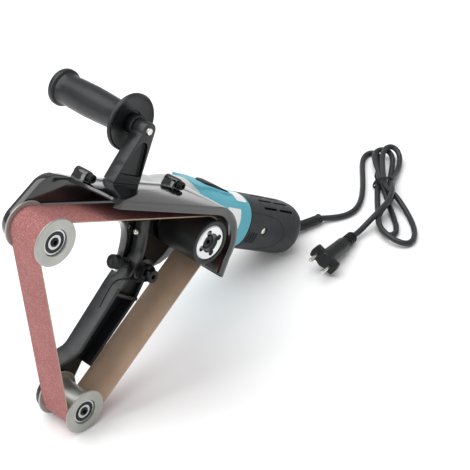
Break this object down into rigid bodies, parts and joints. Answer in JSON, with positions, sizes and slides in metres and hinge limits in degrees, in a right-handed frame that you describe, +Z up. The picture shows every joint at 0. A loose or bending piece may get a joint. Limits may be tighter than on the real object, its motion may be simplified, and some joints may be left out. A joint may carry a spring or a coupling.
{
  "type": "handheld belt sander",
  "caption": "Handheld pipe sander: a grinder motor drives an open sanding belt round a drum and flanged rollers, with a sprung arm, a guard, a side handle and a tied mains lead.",
  "frame": {"origin": "floor point under the middle of the sander's box, measured without the lead and its plug", "axes": "+X from the belt towards the motor's rear and the lead, +Y away from the belt towards the side handle's end, +Z up; the motor leans rear end down by 31.2 degrees"},
  "size_m": [0.678, 0.2062, 0.3024],
  "materials": {
    "black_casting": "gloss black paint on cast aluminium",
    "bare_casting": "satin die casting",
    "teal_plastic": "fine-textured moulding",
    "grey_plastic": "fine-textured moulding",
    "black_plastic": "satin moulding",
    "rubber": "matte moulded rubber",
    "cord_rubber": "satin cable sheath",
    "steel": "machined",
    "black_steel": "blackened",
    "zinc": "bright zinc plating",
    "roller_metal": "turned, dull",
    "copper": "turned copper",
    "plated_brass": "nickel plating",
    "carbon": "matte carbon block",
    "abrasive_cloth": "brown-red grit outside, woven tan backing inside",
    "label": "blank printed foil"
  },
  "bodies": {
    "frame": {"guard_frame": "black_casting", "handle_bracket": "black_casting", "handle_grip": "black_plastic", "handle_stud": "zinc", "handle_lock_nut": "black_steel", "gear_housing": "bare_casting", "bearing_cover": "bare_casting", "spindle_bearing": "steel", "field_core": "steel", "front_bearing": "steel", "rear_bearing": "steel", "carbon_brush_near": "carbon", "carbon_brush_far": "carbon", "motor_housing": "teal_plastic", "rear_cover": "grey_plastic", "rating_label": "label", "blank_label": "label", "cover_screw_near": "zinc", "cover_screw_far": "zinc", "lug_screw_front": "black_steel", "lug_screw_rear": "black_steel", "upper_axle": "black_steel", "upper_axle_nut": "black_steel", "pivot_bolt": "black_steel", "sanding_belt": "abrasive_cloth", "cord_guard": "rubber", "cord_lead": "cord_rubber", "cord_hank": "cord_rubber", "cord_loop": "cord_rubber", "cord_tie": "black_plastic", "plug_lead": "cord_rubber", "plug_body": "black_plastic", "plug_pin_upper": "plated_brass", "plug_pin_lower": "plated_brass"},
    "drum": {"drum_hub": "bare_casting", "drum_sleeve": "rubber", "drum_screw": "black_steel", "spindle": "steel", "ring_gear": "steel"},
    "armature": {"armature_core": "steel", "armature_shaft": "steel", "commutator": "copper", "cooling_fan": "black_plastic", "pinion": "steel"},
    "upper_idler": {"upper_roller": "roller_metal", "upper_bearing_near": "steel", "upper_bearing_far": "steel"},
    "lower_idler": {"lower_roller": "roller_metal", "lower_bearing_near": "steel", "lower_bearing_far": "steel"},
    "arm": {"tension_arm": "black_casting", "arm_screw": "zinc", "torsion_spring": "black_steel", "tracking_spring": "steel", "lower_axle": "black_steel", "lower_axle_nut": "black_steel"},
    "tracker": {"tracking_knob": "black_steel"},
    "switch": {"switch_slider": "black_plastic"},
    "spindle_lock": {"spindle_lock_button": "black_plastic"}
  },
  "joints": [
    {"name": "drum_spin", "type": "hinge", "parent": "frame", "child": "drum", "pos_m": [-0.0093, 0.0058, 0.15084], "axis": [0, 1, 0], "continuous": true},
    {"name": "armature_spin", "type": "hinge", "parent": "frame", "child": "armature", "pos_m": [-0.0093, 0.0058, 0.15084], "axis": [0.8554, 0, -0.518], "continuous": true},
    {"name": "upper_roller_spin", "type": "hinge", "parent": "frame", "child": "upper_idler", "pos_m": [-0.1939, -0.06, 0.23674], "axis": [0, 1, 0], "continuous": true},
    {"name": "arm_swing", "type": "hinge", "parent": "frame", "child": "arm", "pos_m": [-0.06733, -0.048, 0.12683], "axis": [0, 1, 0], "range_deg": [0, 8], "stiffness_Nm_per_rad": 10, "springref_deg": -28.65, "deforming": ["sanding_belt"]},
    {"name": "lower_roller_spin", "type": "hinge", "parent": "arm", "child": "lower_idler", "pos_m": [-0.17563, -0.06, 0.02377], "axis": [0, 1, 0], "continuous": true},
    {"name": "tracking_turn", "type": "hinge", "parent": "arm", "child": "tracker", "pos_m": [-0.09759, -0.0462, 0.14983], "axis": [0.8554, 0, -0.518], "range_deg": [-180, 180]},
    {"name": "switch_slide", "type": "slide", "parent": "frame", "child": "switch", "axis": [-0.7961, 0, 0.6052], "range_m": [0, 0.005]},
    {"name": "spindle_lock_press", "type": "slide", "parent": "frame", "child": "spindle_lock", "axis": [0, -1, 0], "range_m": [0, 0.003], "stiffness_N_per_m": 800}
  ],
  "couplings": [
    {"joint": "armature_spin", "follows": "drum_spin", "ratio": 3},
    {"joint": "upper_roller_spin", "follows": "drum_spin", "ratio": 1.3172},
    {"joint": "lower_roller_spin", "follows": "drum_spin", "ratio": 1.3172}
  ]
}
